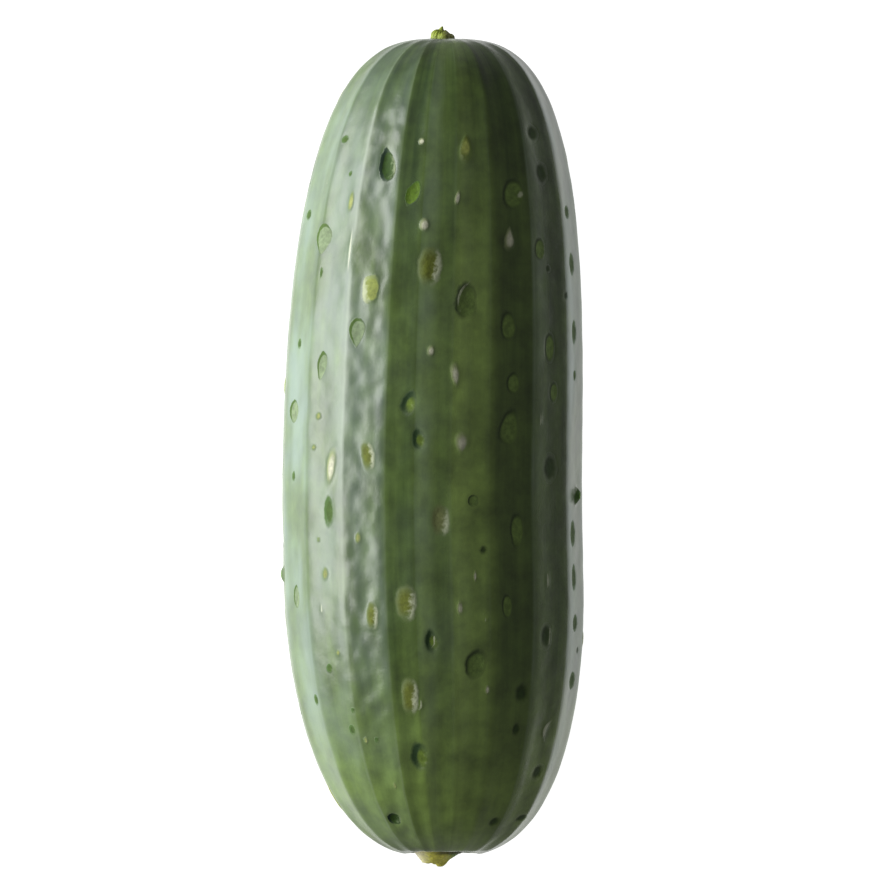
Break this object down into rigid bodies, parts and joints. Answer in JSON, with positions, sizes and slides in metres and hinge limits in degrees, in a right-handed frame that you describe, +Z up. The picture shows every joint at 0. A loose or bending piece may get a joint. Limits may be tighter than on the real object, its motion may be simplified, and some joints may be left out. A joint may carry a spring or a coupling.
{
  "type": "cucumber",
  "caption": "Short ribbed pickling cucumber lying on its side, warty green skin with a pale waxy bloom, a cut stem stub and a dried blossom end.",
  "frame": {"origin": "on the surface that the cucumber lies on, below the middle of its box", "axes": "+Y along the fruit, from the stem end to the blossom end; +Z up; both ends bend slightly towards +X"},
  "size_m": [0.0506, 0.1404, 0.0496],
  "materials": {
    "skin": "dark green cucumber skin with a waxy bloom, satin",
    "stub": "pale yellow-green stem, matt, fibrous where it broke",
    "blossom": "dried blossom, yellow-green to brown, matt"
  },
  "bodies": {
    "root": {"fruit": "skin", "stem_stub": "stub", "blossom_remnant": "blossom"}
  },
  "joints": []
}
